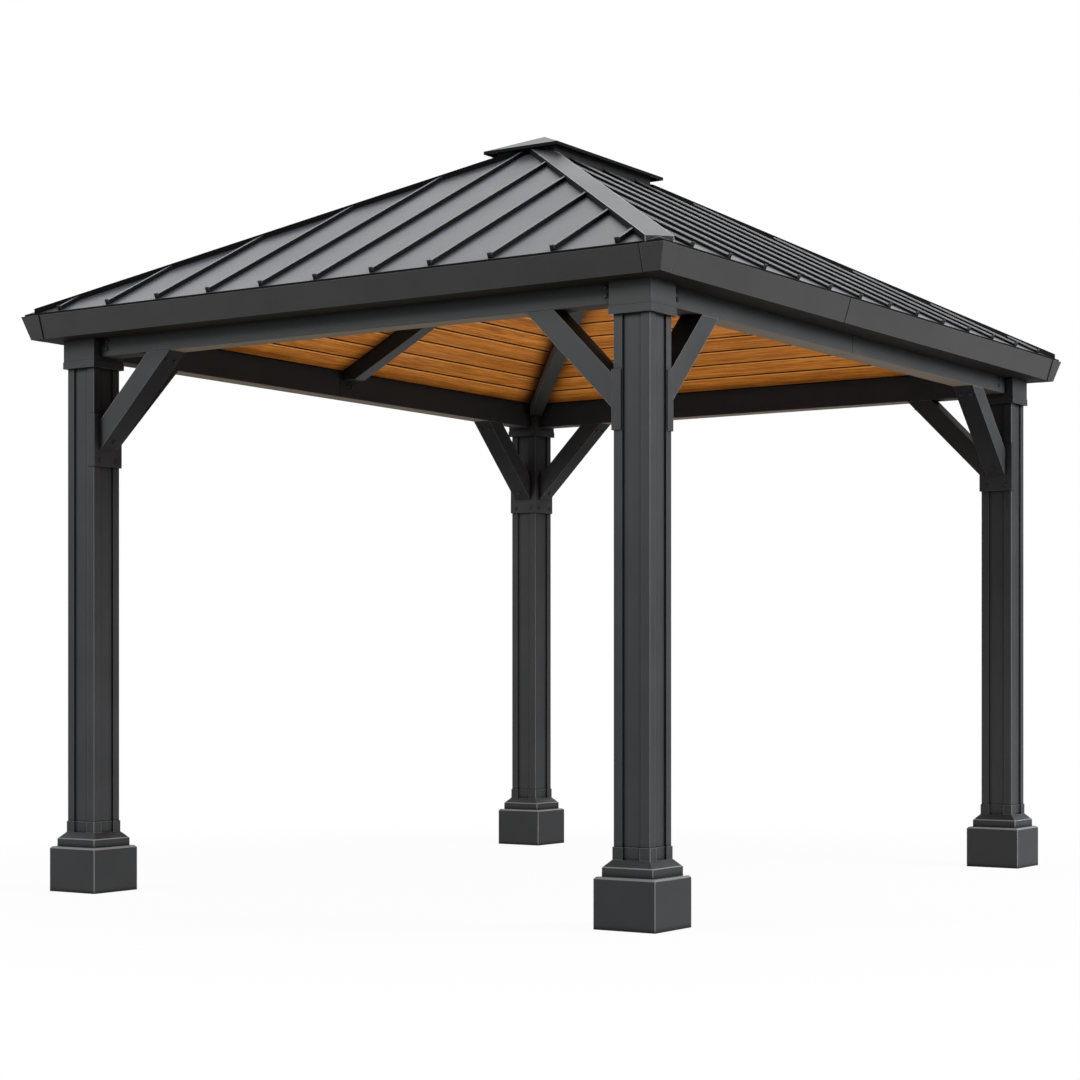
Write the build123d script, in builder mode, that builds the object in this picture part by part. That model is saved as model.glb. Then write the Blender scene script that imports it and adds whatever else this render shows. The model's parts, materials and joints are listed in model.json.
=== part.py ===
# Hard-top garden gazebo: four panelled posts on plinths, box beams with knee braces,
# a hipped standing-seam metal roof with a raised vent cap, and a boarded ceiling.
# +X is the right side, -Y the front, +Z up; the origin is on the ground under the middle.
import math
import os

from build123d import *

os.makedirs("parts", exist_ok=True)

# Plan and heights
post_spacing_x = 2600.0
post_spacing_y = 3200.0
eave_overhang = 200.0
beam_underside = 2155.0
eave_rise = 44.0
roof_angle = 27.5
cut_overrun = 40.0

# Posts and their foot plates
post_width = 146.0
post_wall = 3.0
post_edge_radius = 3.0
panel_width = 74.0
panel_recess = 7.0
foot_plate_margin = 29.0
foot_plate_thickness = 8.0
anchor_edge_distance = 18.0
anchor_hole_radius = 7.0

# Plinths round the post feet
plinth_ledge = 21.0
plinth_height = 181.0
plinth_wall = 4.0
plinth_chamfer = 7.0
plinth_edge_radius = 4.0
step_reach = 26.5
step_height = 34.0
step_chamfer = 3.0
slope_height = 24.0
sleeve_height = 44.0
sleeve_wall = 3.5

# Beams and collars at the post heads
beam_width = 92.0
beam_height = 120.0
beam_wall = 3.0
beam_edge_radius = 3.0
beam_joint_gap = 4.0
beam_joint_shift = 54.0
collar_clearance = 8.0
collar_wall = 3.0
collar_drop = 43.0
collar_lip_gap = 15.0
collar_lip = 2.0

# Knee braces and the brackets that carry them
bracket_drop = 187.0
bracket_height = 210.0
bracket_thickness = 6.5
bracket_return = 32.0
bracket_return_thickness = 3.5
brace_foot_rise = 65.0
brace_angle = 45.0
brace_depth = 84.0
brace_width = 92.0
brace_wall = 3.0

# Eave trim
fascia_height = 92.0
fascia_lean = 28.0
fascia_sheet = 3.0
fascia_top_flange = 45.0
fascia_joint_gap = 4.0
fascia_joint_shift = 385.0
corner_length = 92.0
corner_sheet = 3.5

# Roof sheets, seams and hip caps
roof_sheet = 4.0
roof_setback = 8.0
rib_pitch = 262.0
rib_base = 18.0
rib_height = 15.0
rib_side_angle = 78.0
rib_setback = 14.0
hip_cap_width = 102.0
hip_cap_raise = 5.0
hip_cap_sheet = 3.0
hip_cap_setback = 34.0

# Vent cap and its curb
vent_side_reach = 185.0
vent_end_reach = 130.0
vent_angle = 22.0
vent_skirt = 13.0
vent_sheet = 3.0
vent_gap = 7.0
curb_inset = 42.0
curb_wall = 4.0

# Ridge beam, rafters and ceiling
ridge_beam_width = 70.0
ridge_beam_drop = 24.0
rafter_width = 70.0
rafter_depth = 70.0
rafter_heel = 42.0
hip_rafter_width = 62.0
hip_rafter_seat = 12.0
ceiling_thickness = 12.0
ceiling_seat = 16.0

# Worked out from the sizes above
post_x = post_spacing_x / 2
post_y = post_spacing_y / 2
half_x = post_x + eave_overhang
half_y = post_y + eave_overhang
ridge_half = half_y - half_x
slope = math.tan(math.radians(roof_angle))
slope_cos = math.cos(math.radians(roof_angle))
slope_sin = math.sin(math.radians(roof_angle))
hip_fall = slope / math.sqrt(2)
roof_rise = roof_sheet / slope_cos
beam_top = beam_underside + beam_height
eave_height = beam_top + eave_rise
foot_plate_width = post_width + 2 * foot_plate_margin
anchor_spacing = foot_plate_width - 2 * anchor_edge_distance
sleeve_width = post_width + 2 * sleeve_wall
step_width = sleeve_width + 2 * step_reach
plinth_width = step_width + 2 * plinth_ledge
collar_width = post_width + 2 * (collar_clearance + collar_wall)
collar_bottom = beam_underside - collar_drop
collar_lip_top = beam_underside - collar_lip_gap
collar_half = collar_width / 2
bracket_bottom = collar_bottom - bracket_drop - bracket_height
bracket_face = post_width / 2 + bracket_thickness
fascia_bottom = eave_height - fascia_height
inner_x = post_x - beam_width / 2
inner_y = post_y - beam_width / 2
outer_x = post_x + beam_width / 2
outer_y = post_y + beam_width / 2
ridge_side = ridge_beam_width / 2
ridge_beam_half = ridge_half + ridge_side + hip_rafter_width
rafter_fall = rafter_depth / slope_cos
ceiling_rise = ceiling_thickness / slope_cos
seam_half = hip_cap_width / 2
vent_half_x = vent_side_reach
vent_half_y = ridge_half + vent_end_reach
curb_half_x = vent_half_x - curb_inset
curb_half_y = vent_half_y - curb_inset

front_section = Plane(origin=(0, 0, 0), x_dir=(0, -1, 0), z_dir=(-1, 0, 0))
post_corners = {
    "front_left": (-1, -1),
    "front_right": (1, -1),
    "back_left": (-1, 1),
    "back_right": (1, 1),
}


def roof_underside(run, eave_run):
    return eave_height + (eave_run - run) * slope


def ceiling_underside(run, inner_run):
    return beam_top + (inner_run - run) * slope


def hip_plane(side_x, side_y, shift=0.0):
    # Vertical plane along a hip, its normal towards the long slope
    towards_long = Vector(side_x, -side_y, 0).normalized()
    return Plane(origin=Vector(0, side_y * ridge_half, 0) + towards_long * shift, z_dir=towards_long)


def hip_section(top_height, run):
    # Upright plane across the back right hip, at a distance out from the ridge
    return Plane(
        origin=(run, ridge_half + run, top_height - run * slope),
        x_dir=(1, -1, 0),
        z_dir=(-1, -1, 0),
    )


def save(piece, name):
    piece.label = name
    export_step(piece, f"parts/{name}.step")


def mirrored(piece, about):
    with BuildPart() as copy:
        mirror(piece, about=about)
    return copy.part


def in_corner(piece, side_x, side_y):
    # A piece modelled for the back right corner, moved to another corner
    if side_x < 0:
        piece = mirrored(piece, Plane.YZ)
    if side_y < 0:
        piece = mirrored(piece, Plane.XZ)
    return piece


def in_all_corners(piece):
    with BuildPart() as group:
        add(piece)
        mirror(about=Plane.YZ)
        mirror(about=Plane.XZ)
    return group.part


def post_outline(grow=0.0, rounded=False):
    # Square outline with a recessed panel down each face
    with BuildSketch() as outline:
        Rectangle(post_width + 2 * grow, post_width + 2 * grow)
        if rounded:
            fillet(outline.vertices(), post_edge_radius)
        with PolarLocations(post_width / 2 + grow, 4):
            Rectangle(2 * panel_recess, panel_width - 2 * grow, mode=Mode.SUBTRACT)
    return outline.sketch


# Post with its foot plate
with BuildPart() as post:
    with BuildSketch(Plane.XY.offset(foot_plate_thickness)):
        add(post_outline(rounded=True))
        add(post_outline(-post_wall), mode=Mode.SUBTRACT)
    extrude(amount=beam_top - foot_plate_thickness)
    with BuildSketch():
        Rectangle(foot_plate_width, foot_plate_width)
        with GridLocations(anchor_spacing, anchor_spacing, 2, 2):
            Circle(anchor_hole_radius, mode=Mode.SUBTRACT)
    extrude(amount=foot_plate_thickness)

# Plinth: block, step, sloped top and a sleeve that follows the post
step_top = plinth_height + step_height
slope_top = step_top + slope_height
block_bevel = (plinth_height - plinth_chamfer, plinth_width)
step_bevel = (step_top - step_chamfer, step_width)
step_edge = (step_top, step_width - 2 * step_chamfer)
plinth_tiers = [
    ((0, plinth_width), block_bevel),
    (block_bevel, (plinth_height, plinth_width - 2 * plinth_chamfer)),
    ((plinth_height, step_width), step_bevel),
    (step_bevel, step_edge),
    (step_edge, (slope_top, sleeve_width)),
]
with BuildPart() as plinth:
    for tier in plinth_tiers:
        for height, width in tier:
            with BuildSketch(Plane.XY.offset(height)):
                RectangleRounded(width, width, plinth_edge_radius)
        loft()
    with BuildSketch(Plane.XY.offset(slope_top)):
        add(post_outline(sleeve_wall, rounded=True))
    extrude(amount=sleeve_height)
    with BuildSketch():
        Rectangle(plinth_width - 2 * plinth_wall, plinth_width - 2 * plinth_wall)
    extrude(amount=plinth_height - plinth_chamfer, mode=Mode.SUBTRACT)
    with BuildSketch():
        Rectangle(step_width - 2 * plinth_wall, step_width - 2 * plinth_wall)
    extrude(amount=step_top - plinth_wall, mode=Mode.SUBTRACT)
    with BuildSketch():
        add(post_outline())
    extrude(amount=slope_top + sleeve_height, mode=Mode.SUBTRACT)

# Collar: a folded sleeve round the post head with a wider lip and an inward flange
with BuildPart() as collar:
    with BuildSketch(Plane.XY.offset(collar_bottom)):
        Rectangle(collar_width, collar_width)
    extrude(amount=beam_top - collar_bottom)
    with BuildSketch(Plane.XY.offset(collar_bottom)):
        Rectangle(collar_width + 2 * collar_lip, collar_width + 2 * collar_lip)
    extrude(amount=collar_lip_top - collar_bottom)
    with BuildSketch(Plane.XY.offset(collar_bottom + collar_wall)):
        Rectangle(collar_width - 2 * collar_wall, collar_width - 2 * collar_wall)
    extrude(amount=beam_top - collar_bottom, mode=Mode.SUBTRACT)
    with BuildSketch(Plane.XY.offset(collar_bottom)):
        add(post_outline())
    extrude(amount=collar_wall, mode=Mode.SUBTRACT)

# Bracket angle on the two inner faces of the back right post, with short returns
bracket_reach = bracket_return - post_width / 2
bracket_span = bracket_face + post_width / 2 + bracket_return_thickness
bracket_leg = bracket_face + bracket_reach
with BuildPart() as bracket:
    with BuildSketch(Plane.XY.offset(bracket_bottom)):
        with Locations((-bracket_face, -bracket_face)):
            Rectangle(bracket_span, bracket_leg, align=(Align.MIN, Align.MIN))
            Rectangle(bracket_leg, bracket_span, align=(Align.MIN, Align.MIN))
        Rectangle(post_width, post_width, mode=Mode.SUBTRACT)
    extrude(amount=bracket_height)

# Knee brace under the back beam, and its twin under the right beam
brace_slope = math.tan(math.radians(brace_angle))
brace_foot = bracket_bottom + brace_foot_rise
brace_post_cut = brace_depth / math.cos(math.radians(brace_angle))
brace_wall_cut = brace_wall / math.cos(math.radians(brace_angle))


def brace_outline(low, high):
    # Side view of a brace between two heights on the bracket, measured from the post's middle
    return [
        (bracket_face, low),
        (bracket_face, high),
        (bracket_face + (beam_underside - high) / brace_slope, beam_underside),
        (bracket_face + (beam_underside - low) / brace_slope, beam_underside),
    ]


with BuildPart() as brace:
    with BuildSketch(Plane.XZ):
        Polygon(*brace_outline(brace_foot, brace_foot + brace_post_cut), align=None)
    extrude(amount=brace_width / 2, both=True)
    with BuildSketch(Plane.XZ):
        inner_high = brace_foot + brace_post_cut - brace_wall_cut
        Polygon(*brace_outline(brace_foot + brace_wall_cut, inner_high), align=None)
    extrude(amount=brace_width / 2 - brace_wall, both=True, mode=Mode.SUBTRACT)

with BuildPart() as brace_pair:
    with Locations((post_x, post_y, 0)):
        add(brace.part, rotation=(0, 0, 180))
        add(brace.part, rotation=(0, 0, -90))

for corner, (side_x, side_y) in post_corners.items():
    with BuildPart() as corner_post:
        with Locations((side_x * post_x, side_y * post_y, 0)):
            add(post.part)
    save(corner_post.part, f"{corner}_post")
    with BuildPart() as corner_plinth:
        with Locations((side_x * post_x, side_y * post_y, 0)):
            add(plinth.part)
    save(corner_plinth.part, f"{corner}_plinth")
    with BuildPart() as corner_collar:
        with Locations((side_x * post_x, side_y * post_y, 0)):
            add(collar.part)
    save(corner_collar.part, f"{corner}_collar")
    save(in_corner(brace_pair.part, side_x, side_y), f"{corner}_knee_braces")

with BuildPart() as corner_bracket:
    with Locations((post_x, post_y, 0)):
        add(bracket.part)
save(in_all_corners(corner_bracket.part), "brace_brackets")


def box_beam(section, length):
    # Hollow beam along its section's normal
    with BuildPart() as beam:
        with BuildSketch(section):
            RectangleRounded(beam_width, beam_height, beam_edge_radius, align=(Align.CENTER, Align.MIN))
            with Locations((0, beam_wall)):
                inner_size = (beam_width - 2 * beam_wall, beam_height - 2 * beam_wall)
                Rectangle(*inner_size, align=(Align.CENTER, Align.MIN), mode=Mode.SUBTRACT)
        extrude(amount=length)
    return beam.part


# Beams between the collars: one piece on the short sides, two halves on the long sides
short_start = Plane((collar_half - post_x, -post_y, beam_underside), x_dir=(0, 1, 0), z_dir=(1, 0, 0))
front_beam = box_beam(short_start, post_spacing_x - collar_width)
save(front_beam, "front_beam")
save(mirrored(front_beam, Plane.XZ), "back_beam")

for half, way in (("front_half", -1), ("back_half", 1)):
    joint_y = way * beam_joint_gap / 2 - beam_joint_shift
    joint_start = Plane((post_x, joint_y, beam_underside), x_dir=(-way, 0, 0), z_dir=(0, way, 0))
    long_beam = box_beam(joint_start, post_y - collar_half - way * joint_y)
    save(long_beam, f"right_beam_{half}")
    save(mirrored(long_beam, Plane.YZ), f"left_beam_{half}")


def eave_trim(section, eave_run, soffit_run, length, hips, keep):
    # Folded sheet: a flange under the roof sheet, a leaning face and a soffit back to the beam
    with BuildPart() as trim:
        with BuildSketch(section):
            with BuildLine():
                flange_run = eave_run - fascia_top_flange
                Polyline(
                    (flange_run, roof_underside(flange_run, eave_run)),
                    (eave_run, eave_height),
                    (eave_run - fascia_lean, fascia_bottom),
                    (soffit_run, fascia_bottom),
                )
                offset(amount=fascia_sheet, side=Side.RIGHT, kind=Kind.INTERSECTION)
            make_face()
        extrude(amount=length, both=True)
        for side_x, side_y in hips:
            split(bisect_by=hip_plane(side_x, side_y), keep=keep)
        with GridLocations(post_spacing_x, post_spacing_y, 2, 2):
            Box(collar_width, collar_width, 2 * eave_height, mode=Mode.SUBTRACT)
    return trim.part


right_hips = ((1, -1), (1, 1))
front_hips = ((1, -1), (-1, -1))

# Fascias: one piece on the short sides, two halves on the long sides
front_fascia = eave_trim(front_section, half_y, outer_y, half_x, front_hips, Keep.BOTTOM)
save(front_fascia, "front_fascia")
save(mirrored(front_fascia, Plane.XZ), "back_fascia")

right_trim = eave_trim(Plane.XZ, half_x, outer_x, half_y, right_hips, Keep.TOP)
for half, way, side in (("front_half", -1, Keep.TOP), ("back_half", 1, Keep.BOTTOM)):
    with BuildPart() as half_fascia:
        add(right_trim)
        split(bisect_by=Plane.XZ.offset(fascia_joint_shift - way * fascia_joint_gap / 2), keep=side)
    save(half_fascia.part, f"right_fascia_{half}")
    save(mirrored(half_fascia.part, Plane.YZ), f"left_fascia_{half}")

# Folded cover over each fascia corner
with BuildPart() as fascia_corner:
    with BuildSketch(Plane.XZ.offset(corner_length - half_y)):
        Polygon(
            (half_x, eave_height),
            (half_x - fascia_lean, fascia_bottom),
            (half_x - fascia_lean + corner_sheet, fascia_bottom),
            (half_x + corner_sheet, eave_height),
            align=None,
        )
    extrude(amount=-corner_length - cut_overrun)
    split(bisect_by=hip_plane(1, 1), keep=Keep.TOP)
    mirror(about=hip_plane(1, 1))
save(in_all_corners(fascia_corner.part), "fascia_corners")


def roof_slope(section, across, outward, eave_run, top_run, curb_run, length, hips, keep):
    # Roof sheet with standing seams that stop at the hip caps and the curb
    sheet_run = eave_run - roof_setback
    rib_run = sheet_run - rib_setback
    rib_foot = roof_underside(rib_run, eave_run) + roof_rise
    seam_shift = seam_half if keep == Keep.TOP else -seam_half
    rib_plane = Plane(
        origin=outward * rib_run + Vector(0, 0, rib_foot),
        x_dir=across,
        z_dir=outward * -slope_cos + Vector(0, 0, slope_sin),
    )
    rib_count = int((length - hip_cap_width) / rib_pitch)
    with BuildPart() as ribs:
        with BuildSketch(rib_plane):
            with GridLocations(rib_pitch, 0, 2 * rib_count + 1, 1):
                Trapezoid(rib_base, rib_height, rib_side_angle, align=(Align.CENTER, Align.MIN))
        extrude(amount=rib_run / slope_cos)
        for side_x, side_y in hips:
            split(bisect_by=hip_plane(side_x, side_y, seam_shift), keep=keep)
        split(bisect_by=Plane(origin=outward * curb_run, z_dir=outward), keep=Keep.TOP)
    with BuildPart() as sheet:
        with BuildSketch(section):
            Polygon(
                (sheet_run, roof_underside(sheet_run, eave_run)),
                (sheet_run, roof_underside(sheet_run, eave_run) + roof_rise),
                (top_run, roof_underside(top_run, eave_run) + roof_rise),
                (top_run, roof_underside(top_run, eave_run)),
                align=None,
            )
        extrude(amount=length, both=True)
        for side_x, side_y in hips:
            split(bisect_by=hip_plane(side_x, side_y), keep=keep)
        add(ribs.part)
    return sheet.part


to_right = Vector(1, 0, 0)
to_front = Vector(0, -1, 0)
right_roof = roof_slope(
    Plane.XZ, -Vector(0, 1, 0), to_right, half_x, 0, curb_half_x, half_y, right_hips, Keep.TOP
)
save(right_roof, "right_roof")
save(mirrored(right_roof, Plane.YZ), "left_roof")
front_roof = roof_slope(
    front_section, -Vector(1, 0, 0), to_front, half_y, ridge_half, curb_half_y, half_x,
    front_hips, Keep.BOTTOM,
)
save(front_roof, "front_roof")
save(mirrored(front_roof, Plane.XZ), "back_roof")

# Hip cap: a folded channel over the back right hip, closed at its foot
ridge_height = roof_underside(0, half_x) + roof_rise
cap_foot_run = half_x - hip_cap_setback
cap_inner = seam_half - hip_cap_sheet
hip_direction = Vector(-1, -1, slope)
cap_length = cap_foot_run * hip_direction.length
with BuildPart() as hip_cap:
    with BuildSketch(hip_section(ridge_height, cap_foot_run)):
        Polygon(
            (-seam_half, -seam_half * hip_fall),
            (-seam_half, hip_cap_raise),
            (seam_half, hip_cap_raise),
            (seam_half, -seam_half * hip_fall),
            (cap_inner, -cap_inner * hip_fall),
            (cap_inner, hip_cap_raise - hip_cap_sheet),
            (-cap_inner, hip_cap_raise - hip_cap_sheet),
            (-cap_inner, -cap_inner * hip_fall),
            align=None,
        )
    extrude(amount=cap_length, dir=hip_direction)
    with BuildSketch(hip_section(ridge_height, cap_foot_run)):
        Polygon(
            (-seam_half, -seam_half * hip_fall),
            (-seam_half, hip_cap_raise),
            (seam_half, hip_cap_raise),
            (seam_half, -seam_half * hip_fall),
            (0, 0),
            align=None,
        )
    extrude(amount=hip_cap_sheet, dir=hip_direction)
    split(bisect_by=Plane.XZ.offset(-curb_half_y), keep=Keep.BOTTOM)
save(in_all_corners(hip_cap.part), "hip_caps")

# Vent cap: a shallow hipped sheet with a turned-down edge, clear above the hip caps
vent_slope = math.tan(math.radians(vent_angle))
vent_cover = max(hip_cap_raise + seam_half * hip_fall, rib_height / slope_cos)
vent_edge = ridge_height - (vent_half_y - ridge_half) * slope + vent_cover + vent_gap
vent_eave = vent_edge + vent_skirt
vent_drop = vent_sheet / math.cos(math.radians(vent_angle))


def gable(run, bottom, eave, pitch):
    # Outline of a gabled block, seen end on
    return [(-run, bottom), (run, bottom), (run, eave), (0, eave + run * pitch), (-run, eave)]


def hipped_block(run_x, run_y, bottom, eave, pitch):
    # Solid under a hipped roof: two gabled blocks crossed
    with BuildPart() as block:
        with BuildSketch(Plane.XZ):
            Polygon(*gable(run_x, bottom, eave, pitch), align=None)
        extrude(amount=run_y, both=True)
        with BuildSketch(Plane.YZ):
            Polygon(*gable(run_y, bottom, eave, pitch), align=None)
        extrude(amount=run_x, both=True, mode=Mode.INTERSECT)
    return block.part


vent_inner_x = vent_half_x - vent_sheet
vent_inner_y = vent_half_y - vent_sheet
vent_inner_eave = vent_eave + vent_sheet * vent_slope - vent_drop
vent_space = hipped_block(vent_inner_x, vent_inner_y, vent_edge, vent_inner_eave, vent_slope)
with BuildPart() as vent_cap:
    add(hipped_block(vent_half_x, vent_half_y, vent_edge, vent_eave, vent_slope))
    add(vent_space, mode=Mode.SUBTRACT)
save(vent_cap.part, "vent_cap")

# Curb between the roof sheets and the vent cap
roof_body = hipped_block(half_x, half_y, 0, eave_height + roof_rise, slope)
curb_ceiling = hipped_block(vent_inner_x, vent_inner_y, beam_top, vent_inner_eave, vent_slope)
with BuildPart() as vent_curb:
    with BuildSketch(Plane.XY.offset(beam_top)):
        Rectangle(2 * curb_half_x, 2 * curb_half_y)
        Rectangle(2 * (curb_half_x - curb_wall), 2 * (curb_half_y - curb_wall), mode=Mode.SUBTRACT)
    extrude(amount=ridge_height)
    add(curb_ceiling, mode=Mode.INTERSECT)
    add(roof_body, mode=Mode.SUBTRACT)
save(vent_curb.part, "vent_curb")

# Ridge beam, its top cut to the four roof slopes
ridge_beam_bottom = ceiling_underside(ridge_side, inner_x) - rafter_fall - ridge_beam_drop
roof_space = hipped_block(half_x, half_y, 0, eave_height, slope)
with BuildPart() as ridge_beam:
    with BuildSketch(Plane.XY.offset(ridge_beam_bottom)):
        Rectangle(ridge_beam_width, 2 * ridge_beam_half)
    extrude(amount=ridge_height)
    add(roof_space, mode=Mode.INTERSECT)
save(ridge_beam.part, "ridge_beam")

# Rafters under the middle of the long slopes, cut level at the foot
with BuildPart() as mid_rafter:
    with BuildSketch(Plane.XZ):
        Polygon(
            (inner_x, beam_top),
            (ridge_side, ceiling_underside(ridge_side, inner_x)),
            (ridge_side, ceiling_underside(ridge_side, inner_x) - rafter_fall),
            (inner_x - (rafter_fall - rafter_heel) / slope, beam_top - rafter_heel),
            (inner_x, beam_top - rafter_heel),
            align=None,
        )
    extrude(amount=rafter_width / 2, both=True)
with BuildPart() as mid_rafters:
    add(mid_rafter.part)
    mirror(about=Plane.YZ)
save(mid_rafters.part, "mid_rafters")

# Hip rafter from the ridge beam to the post head, its back bevelled to both ceilings
hip_half = hip_rafter_width / 2
hip_foot_run = post_x - collar_half + hip_rafter_seat
ceiling_ridge = ceiling_underside(0, inner_x)
with BuildPart() as hip_rafter:
    with BuildSketch(hip_section(ceiling_ridge, hip_foot_run)):
        Polygon(
            (-hip_half, -hip_half * hip_fall),
            (0, 0),
            (hip_half, -hip_half * hip_fall),
            (hip_half, -rafter_fall),
            (-hip_half, -rafter_fall),
            align=None,
        )
    extrude(amount=hip_foot_run * hip_direction.length, dir=hip_direction)
    split(bisect_by=Plane.YZ.offset(ridge_side), keep=Keep.TOP)
    with Locations((post_x, post_y, 0)):
        Box(collar_width, collar_width, 2 * beam_top, mode=Mode.SUBTRACT)
save(in_all_corners(hip_rafter.part), "hip_rafters")


def ceiling_slope(section, inner_run, top_run, length, hips, keep):
    # Ceiling panel that rests on the beams and meets its neighbours under the hips
    seat_run = inner_run + ceiling_seat
    with BuildPart() as panel:
        with BuildSketch(section):
            Polygon(
                (seat_run, beam_top),
                (inner_run, beam_top),
                (top_run, ceiling_underside(top_run, inner_run)),
                (top_run, ceiling_underside(top_run, inner_run) + ceiling_rise),
                (seat_run, ceiling_underside(seat_run, inner_run) + ceiling_rise),
                align=None,
            )
        extrude(amount=length, both=True)
        for side_x, side_y in hips:
            split(bisect_by=hip_plane(side_x, side_y), keep=keep)
        add(ridge_beam.part, mode=Mode.SUBTRACT)
    return panel.part


right_ceiling = ceiling_slope(Plane.XZ, inner_x, ridge_side, half_y, right_hips, Keep.TOP)
save(right_ceiling, "right_ceiling")
save(mirrored(right_ceiling, Plane.YZ), "left_ceiling")
front_ceiling = ceiling_slope(front_section, inner_y, ridge_half, half_x, front_hips, Keep.BOTTOM)
save(front_ceiling, "front_ceiling")
save(mirrored(front_ceiling, Plane.XZ), "back_ceiling")
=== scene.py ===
import json
import math

import bpy
from mathutils import Matrix, Vector


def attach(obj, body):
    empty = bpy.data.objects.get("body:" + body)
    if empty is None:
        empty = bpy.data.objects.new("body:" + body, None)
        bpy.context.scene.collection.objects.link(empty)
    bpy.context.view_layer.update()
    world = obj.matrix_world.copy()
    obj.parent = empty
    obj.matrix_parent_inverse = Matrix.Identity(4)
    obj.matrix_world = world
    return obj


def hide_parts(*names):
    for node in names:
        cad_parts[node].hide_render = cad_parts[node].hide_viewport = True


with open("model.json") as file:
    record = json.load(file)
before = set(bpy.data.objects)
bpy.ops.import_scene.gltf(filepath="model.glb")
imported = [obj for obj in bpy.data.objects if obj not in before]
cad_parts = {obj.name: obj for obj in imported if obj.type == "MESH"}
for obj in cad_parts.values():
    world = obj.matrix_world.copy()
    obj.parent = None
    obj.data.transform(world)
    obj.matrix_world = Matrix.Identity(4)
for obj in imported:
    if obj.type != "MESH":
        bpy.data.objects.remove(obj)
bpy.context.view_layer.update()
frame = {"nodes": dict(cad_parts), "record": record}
nodes = frame["nodes"]
scene = bpy.context.scene
print("frame loaded:", len(nodes), "nodes")

# plan of the frame, in metres
plan = {
    "postX": 1.3, "postY": 1.6, "halfX": 1.5, "halfY": 1.8, "eave": 2.319,
    "beamTop": 2.275, "beamBottom": 2.155, "beamHalf": 0.046, "collarHalf": 0.084,
    "ridgeHalf": 0.3, "ridgeSide": 0.035, "ridgeBeamHalf": 0.397, "pitch": math.radians(27.5),
}
innerX = plan["postX"] - plan["beamHalf"]
innerY = plan["postY"] - plan["beamHalf"]
slopeCos = math.cos(plan["pitch"])
slopeSin = math.sin(plan["pitch"])
smoothAngle = math.radians(30)
levelFace = 0.9  # least upward part of a level face's normal
raySamples = 4  # for the bevel and corner shading nodes


def deselect():
    bpy.ops.object.select_all(action="DESELECT")


def pick(piece):
    deselect()
    piece.select_set(True)
    bpy.context.view_layer.objects.active = piece


def settle(piece):
    pick(piece)
    bpy.ops.object.transform_apply(location=True, rotation=True, scale=True)


def joinAll(pieces, name):
    deselect()
    for piece in pieces:
        piece.select_set(True)
    bpy.context.view_layer.objects.active = pieces[0]
    bpy.ops.object.join()
    whole = bpy.context.view_layer.objects.active
    whole.name = name
    whole.data.name = name
    return whole


def twin(master, matrix):
    copy = master.copy()
    copy.data = master.data.copy()
    scene.collection.objects.link(copy)
    copy.data.transform(matrix)
    return copy


def cut(piece, point, normal):
    # keeps the side that the normal points to
    pick(piece)
    bpy.ops.object.mode_set(mode="EDIT")
    bpy.ops.mesh.select_all(action="SELECT")
    bpy.ops.mesh.bisect(plane_co=point, plane_no=normal, use_fill=True, clear_inner=True)
    bpy.ops.object.mode_set(mode="OBJECT")


def soften(piece, width, segments=1):
    # bevels every edge
    pick(piece)
    bpy.ops.object.mode_set(mode="EDIT")
    bpy.ops.mesh.select_all(action="SELECT")
    bpy.ops.mesh.bevel(offset=width, segments=segments, affect="EDGES")
    bpy.ops.object.mode_set(mode="OBJECT")


def softenTop(piece, width):
    # bevels only the rims of the faces that look up
    pick(piece)
    bpy.ops.object.mode_set(mode="EDIT")
    bpy.ops.mesh.select_mode(type="FACE")
    bpy.ops.mesh.select_all(action="DESELECT")
    bpy.ops.object.mode_set(mode="OBJECT")
    for face in piece.data.polygons:
        face.select = face.normal.z > levelFace
    bpy.ops.object.mode_set(mode="EDIT")
    bpy.ops.mesh.bevel(offset=width, segments=1, affect="EDGES")
    bpy.ops.object.mode_set(mode="OBJECT")


def bar(size, width):
    deselect()
    bpy.ops.mesh.primitive_cube_add(size=1.0, scale=size)
    piece = bpy.context.object
    settle(piece)
    soften(piece, width)
    return piece


def smooth(piece):
    pick(piece)
    bpy.ops.object.shade_smooth_by_angle(angle=smoothAngle)


def dress(node, material):
    for slot in node.material_slots:
        slot.material = material


def handIn(piece, material):
    piece.data.materials.clear()
    piece.data.materials.append(material)
    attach(piece, "root")


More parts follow.
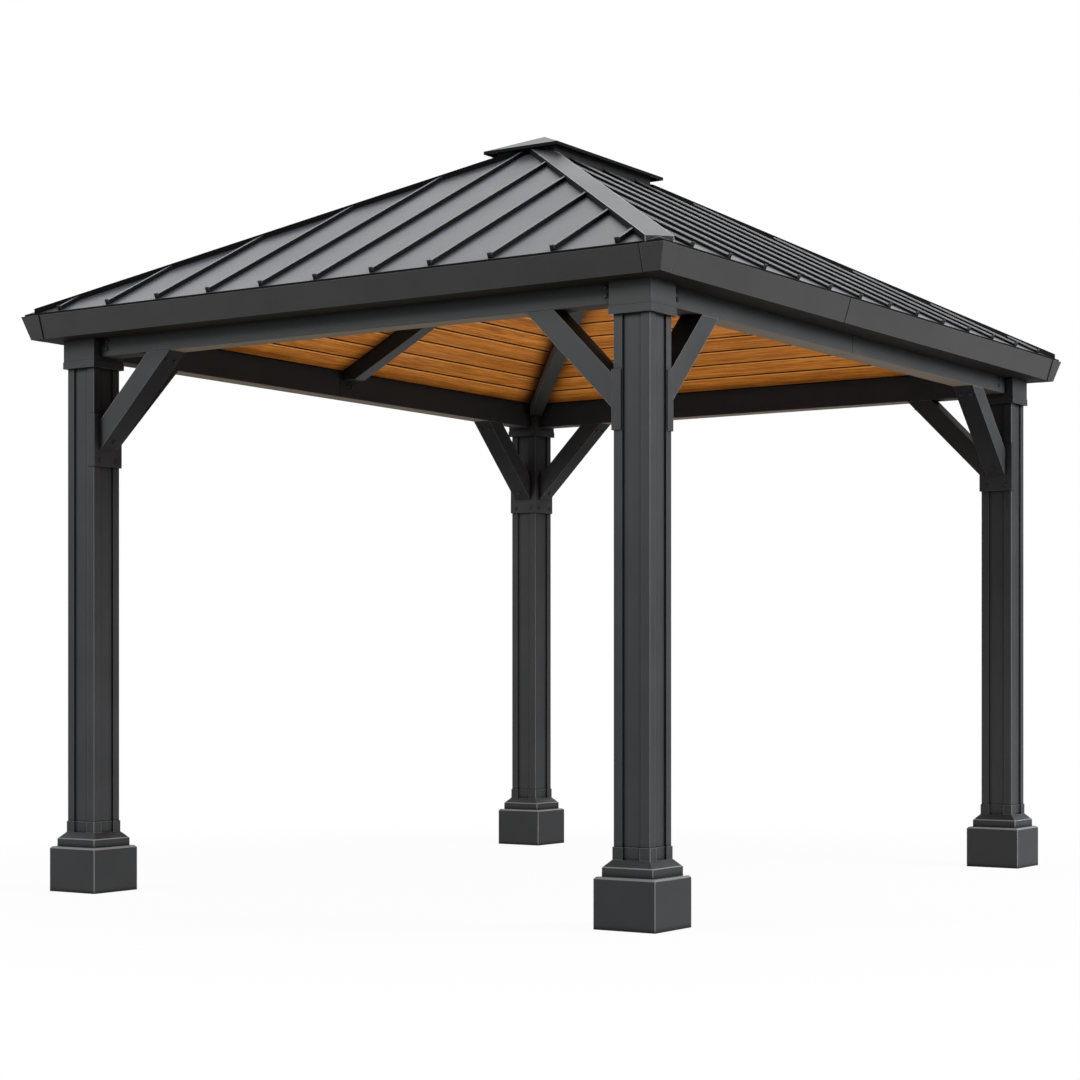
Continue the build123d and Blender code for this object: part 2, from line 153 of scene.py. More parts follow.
class Wire:
    # a socket that can be worked with like a number
    def __init__(self, tree, socket):
        self.tree = tree
        self.socket = socket

    def add(self, kind, settings=None, inputs=None, out=0):
        node = self.tree.nodes.new(kind)
        for key, value in (settings or {}).items():
            setattr(node, key, value)
        for key, value in (inputs or {}).items():
            if isinstance(value, Wire):
                self.tree.links.new(value.socket, node.inputs[key])
            else:
                node.inputs[key].default_value = value
        return Wire(self.tree, node.outputs[out])

    def maths(self, operation, *values):
        return self.add("ShaderNodeMath", {"operation": operation}, dict(enumerate(values)))

    def noise(self, scale, detail, rough):
        links = {"Vector": self, "Scale": scale, "Detail": detail, "Roughness": rough}
        return self.add("ShaderNodeTexNoise", {}, links)

    def part(self, letter):
        return self.add("ShaderNodeSeparateXYZ", {}, {0: self}, out=letter)

    def dot(self, other):
        links = {0: self, 1: other}
        return self.add("ShaderNodeVectorMath", {"operation": "DOT_PRODUCT"}, links, out="Value")

    def ramp(self, low, high, outLow=0.0, outHigh=1.0):
        links = {0: self, 1: low, 2: high, 3: outLow, 4: outHigh}
        return self.add("ShaderNodeMapRange", {"clamp": True}, links)

    def mix(self, first, second):
        # the wire itself is the factor
        links = {0: self, 6: first, 7: second}
        return self.add("ShaderNodeMix", {"data_type": "RGBA"}, links, out=2)

    def most(self, other):
        return self.maths("MAXIMUM", self, other)

    def __abs__(self):
        return self.maths("ABSOLUTE", self)

    def __add__(self, other):
        return self.maths("ADD", self, other)

    def __radd__(self, other):
        return self.maths("ADD", other, self)

    def __sub__(self, other):
        return self.maths("SUBTRACT", self, other)

    def __rsub__(self, other):
        return self.maths("SUBTRACT", other, self)

    def __mul__(self, other):
        return self.maths("MULTIPLY", self, other)

    def __rmul__(self, other):
        return self.maths("MULTIPLY", other, self)

    def __truediv__(self, other):
        return self.maths("DIVIDE", self, other)

    def __rtruediv__(self, other):
        return self.maths("DIVIDE", other, self)


def newMaterial(name):
    material = bpy.data.materials.new(name)
    material.use_nodes = True
    tree = material.node_tree
    shader = tree.nodes["Principled BSDF"]
    place = Wire(tree, tree.nodes.new("ShaderNodeTexCoord").outputs["Object"])
    return material, shader, place


def plug(shader, name, wire):
    wire.tree.links.new(wire.socket, shader.inputs[name])


def tint(colour, scale=1.0):
    return (*[part * scale for part in colour], 1.0)


def roughSpan(look):
    smoother, rougher = look["roughDrift"]
    return look["rough"] - smoother, look["rough"] + rougher


def openness(place, distance):
    # falls from one towards nothing in corners
    links = {"Distance": distance}
    return place.add("ShaderNodeAmbientOcclusion", {"samples": raySamples}, links, out="AO")


def withPaintedLight(surface, factor, look):
    # a plain shader for painted light and shade takes over where the factor falls to nothing
    links = {"Base Color": tint(look["colour"]), "Roughness": look["rough"]}
    links["Specular IOR Level"] = look["shine"]
    paintedLightShader = factor.add("ShaderNodeBsdfPrincipled", {}, links)
    return factor.add("ShaderNodeMixShader", {}, {0: factor, 1: paintedLightShader, 2: surface})


def finishWith(surface):
    plug(surface.tree.nodes["Material Output"], "Surface", surface)


# where each mask begins and ends, with its values there if they aren't 0 and 1; a fade is a length
paintMask = {
    "cloud": (0.3, 0.7), "gloss": (0.25, 0.75),
    "fillet": (0.08, 0.4), "bend": (0.01, 0.22), "rimFade": 0.0005, "level": (0.4, 0.6),
    "top": (0.25, 0.5), "under": (-0.6, -0.45, 1.0, 0.0), "down": (-0.9, -0.7, 1.0, 0.0),
    "inward": (-0.5, -0.2, 1.0, 0.0), "roofed": (1.6, 2.0), "nearPost": (2.45, 2.7),
    "corner": (0.5, 0.92),
}


def paint(name, look):
    # powder coat: cloudy tone, fine peel, softened edges with a paler painted highlight, painted shade in
    # inside corners
    material, shader, place = newMaterial(name)
    east = place.part("X")
    north = place.part("Y")
    height = place.part("Z")
    cloud = place.noise(*look["cloudNoise"])
    peel = place.noise(*look["peelNoise"])
    rounded = place.add("ShaderNodeBevel", {"samples": raySamples}, {"Radius": look["edge"]})
    flat = place.add("ShaderNodeNewGeometry", out="Normal")
    upward = flat.part("Z")
    fillet = abs(flat.part("X") * flat.part("Y")).ramp(*paintMask["fillet"])  # the rounded upright edges
    # painted highlight: the edges turn paler
    paintedHighlight = fillet.most((1.0 - rounded.dot(flat)).ramp(*paintMask["bend"]))
    fade = paintMask["rimFade"]
    # painted highlight on the level rim bands listed in the look
    for rimLow, rimHigh in look["highlightRims"]:
        rimHighlight = height.ramp(rimLow - fade, rimLow) * height.ramp(rimHigh, rimHigh + fade, 1.0, 0.0)
        paintedHighlight = paintedHighlight.most(rimHighlight * upward.ramp(*paintMask["level"]))
    dim = tint(look["colour"], 1 - look["drift"])
    bright = tint(look["colour"], 1 + look["drift"])
    tone = cloud.ramp(*paintMask["cloud"]).mix(dim, bright)
    plug(shader, "Base Color", (paintedHighlight * look["highlightTone"]).mix(tone, tint(look["highlightColour"])))
    plug(shader, "Roughness", cloud.ramp(*paintMask["gloss"], *roughSpan(look)))
    links = {"Strength": look["peel"], "Distance": look["peelDeep"], "Height": peel, "Normal": rounded}
    plug(shader, "Normal", place.add("ShaderNodeBump", {}, links))
    shader.inputs["Specular IOR Level"].default_value = look["shine"]
    # painted shade on faces kept dark: tops, undersides, inner sides below the roof and beam ends at the
    # posts
    downward = upward.ramp(*paintMask["down"])
    sideways = east * flat.part("X") + north * flat.part("Y")
    inward = sideways.ramp(*paintMask["inward"]) * height.ramp(*paintMask["roofed"])
    postward = (abs(east) + abs(north)).ramp(*paintMask["nearPost"])
    shade = upward.ramp(*paintMask["top"]) * look["topShade"]
    shade = shade + upward.ramp(*paintMask["under"]) * look["underShade"]
    shade = shade + inward * look["innerShade"] + downward * postward * look["postShade"]
    surface = Wire(place.tree, shader.outputs[0])
    # painted light on downward faces: a warm bounce under the beams, painted shade under the fascias
    if "paintedUnderside" in look:
        surface = withPaintedLight(surface, 1.0 - downward, look["paintedUnderside"])
    # painted shade: a dark shader takes over in inside corners and on the shaded faces
    unshaded = openness(place, look["corner"]).ramp(*paintMask["corner"]) * (1.0 - shade)
    finishWith(withPaintedLight(surface, unshaded, paintedShadeLook))
    return material


sheetMask = {
    "dust": (0.35, 0.75), "gloss": (0.3, 0.7), "bend": (0.005, 0.12), "endways": (0.8, 0.95),
    "upward": (0.3, 0.6), "footFace": (1.9, 2.2), "corner": (0.55, 0.85),
}


def sheetMetal(name, look):
    # coated roof sheet: slow waves in the surface, a thin dust film, painted shade on upright sides, a
    # painted highlight on edges and arrises
    material, shader, place = newMaterial(name)
    east = place.part("X")
    north = place.part("Y")
    waves = place.noise(*look["waveNoise"])
    dust = place.noise(*look["dustNoise"])
    rounded = place.add("ShaderNodeBevel", {"samples": raySamples}, {"Radius": look["edge"]})
    flat = place.add("ShaderNodeNewGeometry", out="True Normal")
    runX = plan["halfX"] - abs(east)
    runY = plan["halfY"] - abs(north)
    inside = runX.maths("MINIMUM", runX, runY)
    proud = (place.part("Z") - plan["eave"]) * slopeCos - inside * slopeSin  # height above the slope
    ends = abs(flat.part("Y")).ramp(*sheetMask["endways"])
    # painted highlight along the rib tops on the long slopes
    arrisHighlight = ends * proud.ramp(look["arrisLow"], look["arrisHigh"]) * look["arrisHighlight"]
    tone = dust.ramp(*sheetMask["dust"]).mix(tint(look["colour"]), tint(look["dusty"]))
    # painted highlight on the edges and arrises
    sheetHighlight = arrisHighlight.most((1.0 - rounded.dot(flat)).ramp(*sheetMask["bend"]))
    plug(shader, "Base Color", sheetHighlight.mix(tone, tint(look["highlightColour"])))
    plug(shader, "Roughness", dust.ramp(*sheetMask["gloss"], *roughSpan(look)))
    links = {"Strength": look["wave"], "Distance": look["waveDeep"], "Height": waves}
    plug(shader, "Normal", place.add("ShaderNodeBump", {}, links))
    shader.inputs["Specular IOR Level"].default_value = look["shine"]
    outward = east * flat.part("X") + north * flat.part("Y")
    # painted shade: a dark shader takes over on upright sides and in corners, except on the painted
    # highlight of the arrises
    lit = arrisHighlight.most(flat.part("Z").ramp(*sheetMask["upward"]))
    lit = lit.most(outward.ramp(*sheetMask["footFace"]) * look["foot"])  # the closed foot of a hip cap is spared the painted shade
    lit = lit * (runX + runY).ramp(look["tipLow"], look["tipHigh"])  # painted shade on the corner tip below that foot
    lit = lit * openness(place, look["corner"]).ramp(*sheetMask["corner"])
    finishWith(withPaintedLight(Wire(place.tree, shader.outputs[0]), lit, uprightShadeLook))
    return material


woodMask = {
    "blend": (0.4, 0.62), "gloss": (0.3, 0.7), "nookShade": (0.45, 0.95), "lipIn": 0.001, "lipOut": 0.002,
}


def wood(name, look, axis):
    # boards: each with a tone of its own, figure and fibre drawn out along the axis, dark grooves, a
    # painted highlight along each board's upper edge and painted shade near the rafters and beams
    material, shader, place = newMaterial(name)
    height = place.part("Z") - plan["beamTop"]
    run = place.part("Y" if axis == "X" else "X")
    inner = innerY if axis == "X" else innerX
    climb = (height * slopeSin + (inner - abs(run)) * slopeCos) / look["width"]  # in boards up the slope
    middle = climb.maths("FRACT", climb) - 0.5
    groove = ((0.5 - abs(middle)) * look["width"]).ramp(look["grooveIn"], look["grooveOut"])
    row = climb.maths("FLOOR", climb)
    own = place.add("ShaderNodeTexWhiteNoise", {"noise_dimensions": "1D"}, {"W": row})
    stretch = (look["along"], 1.0, 1.0) if axis == "X" else (1.0, look["along"], 1.0)
    shift = place.add("ShaderNodeCombineXYZ", {}, {axis: own * look["shift"]})
    moved = place.add("ShaderNodeVectorMath", {"operation": "ADD"}, {0: place, 1: shift})
    grain = place.add("ShaderNodeVectorMath", {"operation": "MULTIPLY"}, {0: moved, 1: stretch})
    figure = grain.noise(*look["figureNoise"])
    fibre = grain.noise(*look["fibreNoise"])
    blend = figure * look["figureShare"] + fibre * (1 - look["figureShare"])
    tone = blend.ramp(*woodMask["blend"]).mix(tint(look["dark"]), tint(look["light"]))
    agedAndHighlighted = (own * look["vary"]).mix(tone, tint(look["deep"]))
    upper = (0.5 - middle) * look["width"]  # distance below the board's upper edge
    # painted highlight along each board's upper edge, inside the groove
    lip = upper.ramp(look["grooveOut"], look["grooveOut"] + woodMask["lipIn"])
    lip = lip * upper.ramp(look["lipEnd"], look["lipEnd"] + woodMask["lipOut"], 1.0, 0.0)
    agedAndHighlighted = (lip * look["lipTone"]).mix(agedAndHighlighted, tint(look["lip"]))
    # painted shade near the rafters and beams
    nookShade = openness(place, look["nookShade"]).ramp(*woodMask["nookShade"])
    shaded = nookShade.mix(tint(look["shade"]), agedAndHighlighted)
    plug(shader, "Base Color", groove.mix(tint(look["groove"]), shaded))
    plug(shader, "Roughness", fibre.ramp(*woodMask["gloss"], *roughSpan(look)))
    shader.inputs["Specular IOR Level"].default_value = look["shine"]
    links = {"Strength": look["bump"], "Distance": look["fibreDeep"], "Height": fibre}
    plug(shader, "Normal", place.add("ShaderNodeBump", {}, links))
    return material


# finishes for the frame's slots; a noise is its scale, detail and roughness
# painted shade: the dark shader that takes over in inside corners and on shaded faces
paintedShadeLook = {"colour": (0.003, 0.003, 0.003), "rough": 0.8, "shine": 0.1}
# painted shade on the upright sides of the roof sheets
uprightShadeLook = {"colour": (0.004, 0.004, 0.0043), "rough": 0.6, "shine": 0.05}
bounceLightLook = {"colour": (0.16, 0.13, 0.095), "rough": 0.8, "shine": 0.05}  # painted bounce light on the undersides of the beams
soffitShadeLook = {"colour": (0.013, 0.0105, 0.0075), "rough": 0.8, "shine": 0.05}  # painted shade on the undersides of the fascias
# the edge colour and rims are a painted highlight; the shade values are painted shade
paintBase = {
    "cloudNoise": (5.0, 4.0, 0.6), "drift": 0.12, "roughDrift": (0.04, 0.05), "shine": 0.2,
    "peelNoise": (520.0, 2.0, 0.55), "peel": 0.10, "peelDeep": 0.0008,
    "edge": 0.003, "highlightTone": 0.8, "highlightColour": (0.14, 0.142, 0.145), "highlightRims": (),
    "corner": 0.02, "topShade": 0.0, "underShade": 0.0, "innerShade": 0.0, "postShade": 0.0,
}
paintLooks = {
    "post_paint": {"colour": (0.031, 0.032, 0.034), "rough": 0.42, "innerShade": 0.4},
    # plinth: painted highlight on the edges and the chamfer rims
    "plinth_paint": {"colour": (0.0265, 0.0275, 0.029), "rough": 0.44, "edge": 0.0045,
                     "highlightColour": (0.24, 0.242, 0.246), "highlightRims": ((0.174, 0.181), (0.212, 0.2152))},
    "beam_paint": {"colour": (0.042, 0.044, 0.0462), "rough": 0.42, "corner": 0.045, "topShade": 0.8,
                   "innerShade": 0.62, "postShade": 0.6, "paintedUnderside": bounceLightLook},
    "fascia_paint": {"colour": (0.0275, 0.0275, 0.0275), "rough": 0.42, "corner": 0.045,
                     "paintedUnderside": soffitShadeLook},
    "vent_dark": {"colour": (0.006, 0.006, 0.006), "rough": 0.6},
    "rafter_paint": {"colour": (0.014, 0.014, 0.013), "rough": 0.45},
}
# braces: painted highlight on the edges, painted shade on tops and undersides
braceLook = {"edge": 0.0045, "highlightColour": (0.45, 0.455, 0.46), "topShade": 0.7, "underShade": 0.42}
sheetBase = {
    "waveNoise": (3.2, 1.0, 0.55), "wave": 0.15, "waveDeep": 0.004, "dustNoise": (2.5, 2.0, 0.5),
    "roughDrift": (0.02, 0.03), "shine": 0.5, "corner": 0.02,
    "arrisHighlight": 1.0, "arrisLow": 0.0125, "arrisHigh": 0.0145,
    "foot": 0.7, "tipLow": 0.055, "tipHigh": 0.066,
}
# the edge colours and the arris are a painted highlight
sheetLooks = {
    "roof_sheet": {"colour": (0.066, 0.077, 0.095), "dusty": (0.074, 0.085, 0.103), "rough": 0.27,
                   "edge": 0.004, "highlightColour": (0.5, 0.51, 0.53), "corner": 0.04},
    "cap_sheet": {"colour": (0.040, 0.045, 0.054), "dusty": (0.046, 0.051, 0.060), "rough": 0.29,
                  "edge": 0.006, "highlightColour": (0.8, 0.81, 0.83), "arrisHighlight": 0.0},
}
ventCapLook = {**sheetBase, **sheetLooks["cap_sheet"], "shine": 0.3}
boardLook = {
    "width": 0.1057, "gap": 0.005, "thick": 0.012, "rows": 15, "seat": 0.016,
    "bevel": 0.003, "bevelSteps": 2,
    "along": 0.035, "shift": 40.0, "figureNoise": (34.0, 4.0, 0.6), "fibreNoise": (170.0, 3.0, 0.7),
    "figureShare": 0.4, "fibreDeep": 0.0006, "bump": 0.3, "vary": 0.3,
    "rough": 0.5, "roughDrift": (0.06, 0.08), "shine": 0.05,
    "light": (0.92, 0.345, 0.056), "dark": (0.37, 0.106, 0.0095), "deep": (0.42, 0.125, 0.013),
    "groove": (0.016, 0.006, 0.002), "grooveIn": 0.003, "grooveOut": 0.0055,
    # painted shade near the rafters and beams
    "nookShade": 0.1, "shade": (0.06, 0.018, 0.003),
    # painted highlight colour for each board's upper edge
    "lip": (0.95, 0.47, 0.14), "lipTone": 0.7, "lipEnd": 0.012,
}
finishes = {}
for slotName, look in paintLooks.items():
    finishes[slotName] = paint(slotName, {**paintBase, **look})
for slotName, look in sheetLooks.items():
    finishes[slotName] = sheetMetal(slotName, {**sheetBase, **look})
woodAlongX = wood("ceiling_wood_x", boardLook, "X")
woodAlongY = wood("ceiling_wood_y", boardLook, "Y")
finishes["ceiling_wood"] = woodAlongX
for part in frame["record"]["subparts"]:
    dress(nodes[part["node"]], finishes[part["material_slot"]])
dress(nodes["vent_cap"], sheetMetal("vent_cap_sheet", ventCapLook))
braceFinish = paint("brace_paint", {**paintBase, **paintLooks["post_paint"], **braceLook})
for name, node in nodes.items():
    if name.endswith("_knee_braces"):
        dress(node, braceFinish)
print("finishes on the frame")

# ceiling boards: one stack of level boards on each slope, cut at the hips
endSlope = {"inner": innerY, "top": plan["ridgeBeamHalf"], "long": 2 * plan["halfX"]}
longSlope = {"inner": innerX, "top": plan["ridgeSide"], "long": 2 * plan["halfY"]}
boardSides = {
    "front": {"turn": 0, "out": Vector((0, -1, 0)), **endSlope},
    "right": {"turn": 90, "out": Vector((1, 0, 0)), **longSlope},
    "back": {"turn": 180, "out": Vector((0, 1, 0)), **endSlope},
    "left": {"turn": 270, "out": Vector((-1, 0, 0)), **longSlope},
}
for side, spec in boardSides.items():
    deselect()
    boardSize = (spec["long"], boardLook["width"] - boardLook["gap"], boardLook["thick"])
    middle = (0.0, -boardLook["width"] / 2, boardLook["thick"] / 2)  # one row below the beam's edge
    bpy.ops.mesh.primitive_cube_add(size=1.0, location=middle, scale=boardSize)
    boards = bpy.context.object
    boards.name = side + "_boards"
    settle(boards)
    soften(boards, boardLook["bevel"], boardLook["bevelSteps"])
    stack = boards.modifiers.new("stack", "ARRAY")
    stack.count = boardLook["rows"]
    stack.use_relative_offset = False
    stack.use_constant_offset = True
    stack.constant_offset_displace = (0.0, boardLook["width"], 0.0)
    bpy.ops.object.modifier_apply(modifier="stack")
    out = spec["out"]
    boards.rotation_euler = (plan["pitch"], 0.0, math.radians(spec["turn"]))
    boards.location = out * spec["inner"] + Vector((0.0, 0.0, plan["beamTop"]))
    settle(boards)
    across = Vector((-out.y, out.x, 0.0))
    longSide = out.x != 0
    for way in (1, -1):
        hipFoot = Vector((0.0, way * plan["ridgeHalf"], 0.0)) if longSide else out * plan["ridgeHalf"]
        inward = Vector((0.0, -way, 0.0)) if longSide else across * way
        cut(boards, hipFoot, (out + inward).normalized())
    cut(boards, out * spec["top"], out)
    cut(boards, out * (spec["inner"] + boardLook["seat"]), -out)
    cut(boards, (0.0, 0.0, plan["beamTop"]), (0.0, 0.0, 1.0))
    smooth(boards)
    handIn(boards, woodAlongY if longSide else woodAlongX)
    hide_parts(side + "_ceiling")
print("ceiling boards")

# bolts: washer and hexagon head, one joined piece
boltLook = {"washer": 0.0085, "washerThick": 0.0018, "washerSides": 16, "washerBevel": 0.0005,
            "head": 0.0068, "headTall": 0.005, "headBevel": 0.0008, "sink": 0.0006}
zincLook = {"colour": (0.02, 0.02, 0.021), "rough": 0.35, "edge": 0.0008, "underShade": 0.6}
boltPlan = {"shortInset": 0.036, "longInset": 0.072, "beamHigh": (2.213, 2.184),
            "bracketSpread": 0.046, "bracketRise": 0.024, "bracketBottom": 1.715, "bracketFace": 0.0795,
            "splice": (0.007, 0.031), "spliceHigh": 2.207,
            "braceFoot": 1.780, "braceSpots": ((0.034, 0.0), (0.340, -0.024), (0.340, 0.024))}
deselect()
washerHigh = boltLook["washerThick"] / 2
bpy.ops.mesh.primitive_cylinder_add(vertices=boltLook["washerSides"], radius=boltLook["washer"],
                                    depth=boltLook["washerThick"], location=(0, 0, washerHigh))
washer = bpy.context.object
settle(washer)
softenTop(washer, boltLook["washerBevel"])
deselect()
headHigh = boltLook["washerThick"] + boltLook["headTall"] / 2
bpy.ops.mesh.primitive_cylinder_add(vertices=6, radius=boltLook["head"],
                                    depth=boltLook["headTall"], location=(0, 0, headHigh))
head = bpy.context.object
settle(head)
soften(head, boltLook["headBevel"])
boltMaster = joinAll([washer, head], "bolt")


def boltAt(point, facing):
    turn = Vector(facing).to_track_quat("Z", "Y").to_matrix().to_4x4()
    sunk = Vector(point) - Vector(facing).normalized() * boltLook["sink"]
    return twin(boltMaster, Matrix.Translation(sunk) @ turn)


bolts = []
for sideX in (-1, 1):
    for sideY in (-1, 1):
        postX = sideX * plan["postX"]
        postY = sideY * plan["postY"]
        endX = postX - sideX * (plan["collarHalf"] + boltPlan["shortInset"])
        endY = postY - sideY * (plan["collarHalf"] + boltPlan["longInset"])
        for high in boltPlan["beamHigh"]:
            bolts.append(boltAt((endX, postY + sideY * plan["beamHalf"], high), (0, sideY, 0)))
            bolts.append(boltAt((postX + sideX * plan["beamHalf"], endY, high), (sideX, 0, 0)))
        rise = boltPlan["bracketBottom"] + boltPlan["bracketRise"]
        faceX = postX - sideX * boltPlan["bracketFace"]
        faceY = postY - sideY * boltPlan["bracketFace"]
        for spread in (-1, 1):
            shift = spread * boltPlan["bracketSpread"]
            bolts.append(boltAt((faceX, postY + shift, rise), (-sideX, 0, 0)))
            bolts.append(boltAt((postX + shift, faceY, rise), (0, -sideY, 0)))
        for climb, shift in boltPlan["braceSpots"]:
            high = boltPlan["braceFoot"] + climb
            bolts.append(boltAt((faceX - sideX * climb, postY + shift, high), (-sideX, 0, -1)))
            bolts.append(boltAt((postX + shift, faceY - sideY * climb, high), (0, -sideY, -1)))
    for along in boltPlan["splice"]:
        bolts.append(boltAt((sideX * innerX, along, boltPlan["spliceHigh"]), (-sideX, 0, 0)))
boltPiece = joinAll(bolts, "bolts")
bpy.data.objects.remove(boltMaster)
smooth(boltPiece)
handIn(boltPiece, paint("bolt_zinc", {**paintBase, **zincLook}))
print("bolts:", len(bolts))

# end blocks on the standing seams, just above the eave
seamLook = {"pitch": 0.262, "setback": 0.022, "wide": 0.020, "deep": 0.006, "tall": 0.020,
            "sheet": 0.004, "bevel": 0.0015}
seamSides = {
    "front": {"turn": 0, "run": plan["halfY"], "count": 5},
    "right": {"turn": 90, "run": plan["halfX"], "count": 6},
    "back": {"turn": 180, "run": plan["halfY"], "count": 5},
    "left": {"turn": 270, "run": plan["halfX"], "count": 6},
}
blockMaster = bar((seamLook["wide"], seamLook["deep"], seamLook["tall"]), seamLook["bevel"])
blockFoot = plan["eave"] + seamLook["setback"] * math.tan(plan["pitch"]) + seamLook["sheet"] / slopeCos
blockLean = Matrix.Rotation(plan["pitch"], 4, "X") @ Matrix.Translation((0, 0, seamLook["tall"] / 2))
blocks = []
for spec in seamSides.values():
    turn = Matrix.Rotation(math.radians(spec["turn"]), 4, "Z")
    for step in range(-spec["count"], spec["count"] + 1):
        spot = Matrix.Translation((step * seamLook["pitch"], seamLook["setback"] - spec["run"], blockFoot))
        blocks.append(twin(blockMaster, turn @ spot @ blockLean))
blockPiece = joinAll(blocks, "seam_ends")
bpy.data.objects.remove(blockMaster)
handIn(blockPiece, finishes["vent_dark"])
print("seam ends:", len(blocks))

# dark beads and strips painted in as shadow lines: beside the corner covers and in the joints, and under
# the edge of the roof sheets
shadowLineLook = {"bead": 0.005, "beadThick": 0.0014, "beadBevel": 0.0004, "corner": 0.092,
            "fasciaTall": 0.092, "fasciaLean": 0.028, "fasciaJoint": -0.385, "beamJoint": -0.054,
            "strip": 0.0066, "stripTall": 0.0072, "stripBevel": 0.0012,
            "stripIn": 0.0045, "stripUp": 0.0051, "endGap": 0.012}
# near-black for the painted shadow lines
shadowLineDarkLook = {"colour": (0.002, 0.002, 0.002), "rough": 0.7, "shine": 0.08, "highlightTone": 0.0}
beadLean = Matrix.Rotation(math.atan2(shadowLineLook["fasciaLean"], shadowLineLook["fasciaTall"]), 4, "X")
leanTall = math.hypot(shadowLineLook["fasciaLean"], shadowLineLook["fasciaTall"])
beamTall = plan["beamTop"] - plan["beamBottom"]
fasciaBead = bar((shadowLineLook["bead"], shadowLineLook["beadThick"], leanTall), shadowLineLook["beadBevel"])
beamBead = bar((shadowLineLook["bead"], shadowLineLook["beadThick"], beamTall), shadowLineLook["beadBevel"])
fasciaMiddle = plan["eave"] - shadowLineLook["fasciaTall"] / 2
beamMiddle = plan["beamBottom"] + beamTall / 2
stripHigh = plan["eave"] + shadowLineLook["stripUp"]
shadowLines = []
for side, spec in seamSides.items():
    turn = Matrix.Rotation(math.radians(spec["turn"]), 4, "Z")
    longSide = spec["run"] == plan["halfX"]
    other = plan["halfY"] if longSide else plan["halfX"]
    edge = other - shadowLineLook["corner"] - shadowLineLook["bead"] / 2
    forward = 1 if side == "right" else -1
    spots = [-edge, edge]
    if longSide:
        spots.append(forward * shadowLineLook["fasciaJoint"])
        spot = Matrix.Translation((forward * shadowLineLook["beamJoint"], -innerX, beamMiddle))
        shadowLines.append(twin(beamBead, turn @ spot))
    for along in spots:
        spot = Matrix.Translation((along, shadowLineLook["fasciaLean"] / 2 - spec["run"], fasciaMiddle))
        shadowLines.append(twin(fasciaBead, turn @ spot @ beadLean))
    stripLong = 2 * (other - shadowLineLook["endGap"])
    strip = bar((stripLong, shadowLineLook["strip"], shadowLineLook["stripTall"]), shadowLineLook["stripBevel"])
    strip.data.transform(turn @ Matrix.Translation((0.0, shadowLineLook["stripIn"] - spec["run"], stripHigh)))
    shadowLines.append(strip)
shadowLinePiece = joinAll(shadowLines, "shadowLines")
bpy.data.objects.remove(fasciaBead)
bpy.data.objects.remove(beamBead)
handIn(shadowLinePiece, paint("shadow_line_dark", {**paintBase, **shadowLineDarkLook}))
print("seals:", len(shadowLines))

# floor: white in the picture and in reflections, a little greyer near the posts to keep their shadow
floorLook = {"size": 80.0, "drop": 0.0005, "near": 2.2, "far": 4.0, "nearGlow": 0.95,
             "white": (0.63, 0.63, 0.63), "rough": 0.9}
deselect()
bpy.ops.mesh.primitive_plane_add(size=floorLook["size"], location=(0, 0, -floorLook["drop"]))
floor = bpy.context.object
floor.name = "floor"
settle(floor)
floorMaterial, floorShader, place = newMaterial("floor_white")
floorShader.inputs["Base Color"].default_value = tint(floorLook["white"])
floorShader.inputs["Roughness"].default_value = floorLook["rough"]
floorShader.inputs["Specular IOR Level"].default_value = 0.0
reach = place.add("ShaderNodeVectorMath", {"operation": "LENGTH"}, {0: place}, out="Value")
seen = place.add("ShaderNodeLightPath", out="Is Camera Ray")
seen = seen + place.add("ShaderNodeLightPath", out="Is Glossy Ray")
glow = reach.ramp(floorLook["near"], floorLook["far"], floorLook["nearGlow"], 1.0) * seen
white = place.add("ShaderNodeEmission", {}, {"Color": (1, 1, 1, 1), "Strength": 1.0})
paper = Wire(place.tree, floorShader.outputs[0])
finishWith(place.add("ShaderNodeMixShader", {}, {0: glow, 1: paper, 2: white}))
floor.data.materials.append(floorMaterial)

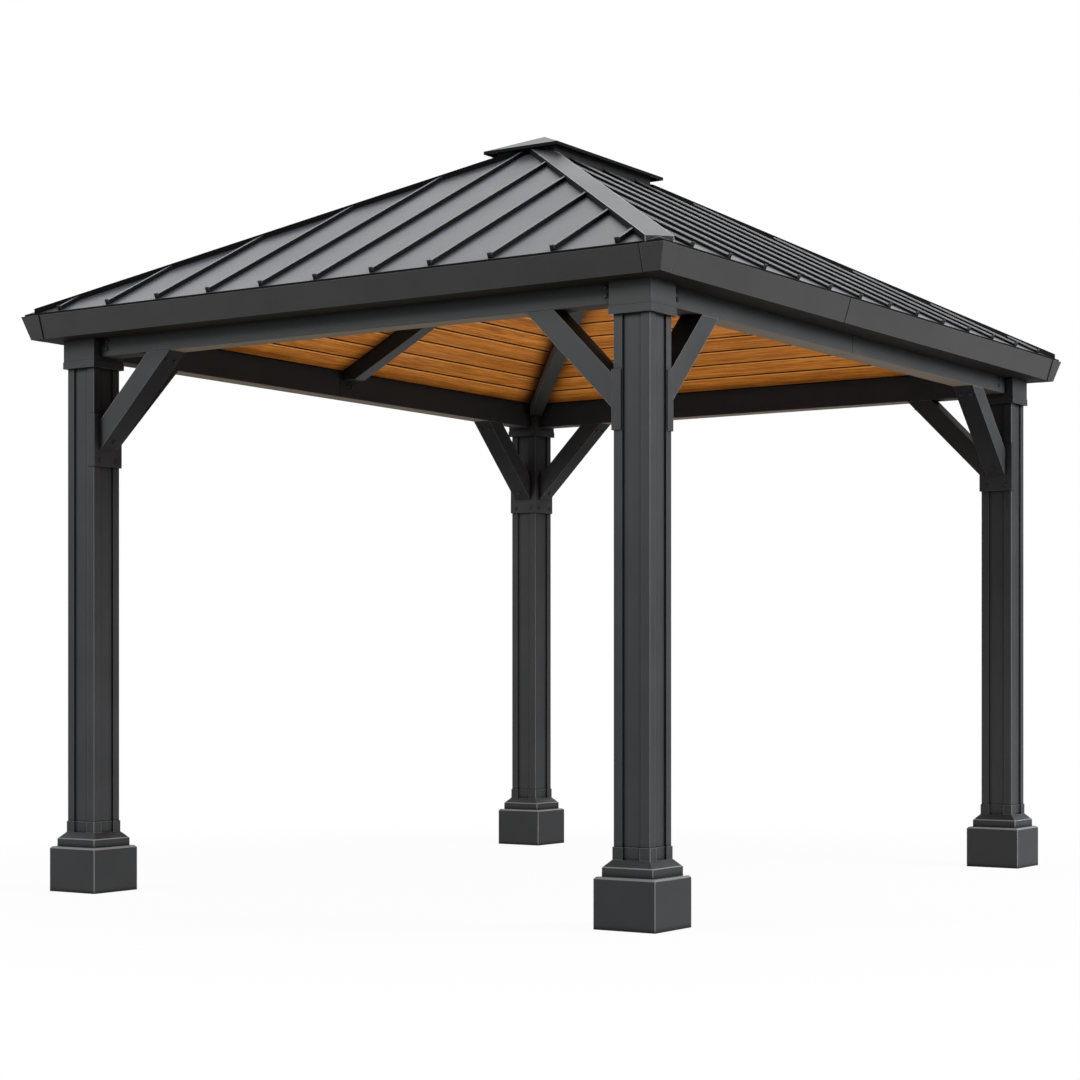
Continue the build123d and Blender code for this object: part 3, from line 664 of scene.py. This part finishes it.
# white all round, with a dark screen low on the far right
worldLook = {"diffuse": 0.37, "screen": 0.85, "toward": (0.55, 0.83, 0.0),
             "screenSide": (0.35, 0.85), "screenTop": (0.15, 0.45, 1.0, 0.0)}
world = bpy.data.worlds.new("studio")
scene.world = world
world.use_nodes = True
background = world.node_tree.nodes["Background"]
around = Wire(world.node_tree, world.node_tree.nodes.new("ShaderNodeTexCoord").outputs["Generated"])
seen = around.add("ShaderNodeLightPath", out="Is Camera Ray")
glossy = around.add("ShaderNodeLightPath", out="Is Glossy Ray")
screen = around.dot(worldLook["toward"]).ramp(*worldLook["screenSide"])
screen = screen * around.part("Z").ramp(*worldLook["screenTop"]) * worldLook["screen"]
level = glossy.ramp(0.0, 1.0, worldLook["diffuse"], 1.0) * (1.0 - screen)
background.inputs["Color"].default_value = (1, 1, 1, 1)
plug(background, "Strength", level.most(seen))

lampLook = {
    "key": {"spot": (8.0, 2.0, 4.5), "aim": (0.0, 0.0, 1.4), "size": 3.5, "power": 780.0},
    "fill": {"spot": (-4.0, -8.5, 6.0), "aim": (0.0, 0.0, 1.2), "size": 4.0, "power": 500.0},
    "back": {"spot": (-4.5, 8.5, 3.0), "aim": (0.0, 0.0, 1.4), "size": 4.0, "power": 300.0},
}
for lampName, spec in lampLook.items():
    deselect()
    bpy.ops.object.light_add(type="AREA", location=spec["spot"])
    lamp = bpy.context.object
    lamp.name = lampName
    lamp.data.size = spec["size"]
    lamp.data.energy = spec["power"]
    lamp.rotation_euler = (Vector(spec["aim"]) - Vector(spec["spot"])).to_track_quat("-Z", "Y").to_euler()

# level camera, so the posts stay parallel; the picture is shifted up instead of tilted
cameraLook = {"spot": (5.4523, -8.4985, 0.8688), "turn": 33.56,
              "lens": 77.804, "sensor": 36.0, "shiftY": 0.1262}
levelTurn = (math.pi / 2, 0.0, math.radians(cameraLook["turn"]))
bpy.ops.object.camera_add(location=cameraLook["spot"], rotation=levelTurn)
eye = bpy.context.object
eye.data.lens = cameraLook["lens"]
eye.data.sensor_width = cameraLook["sensor"]
eye.data.shift_y = cameraLook["shiftY"]
scene.camera = eye
scene.view_settings.view_transform = "Standard"
print("studio and camera")
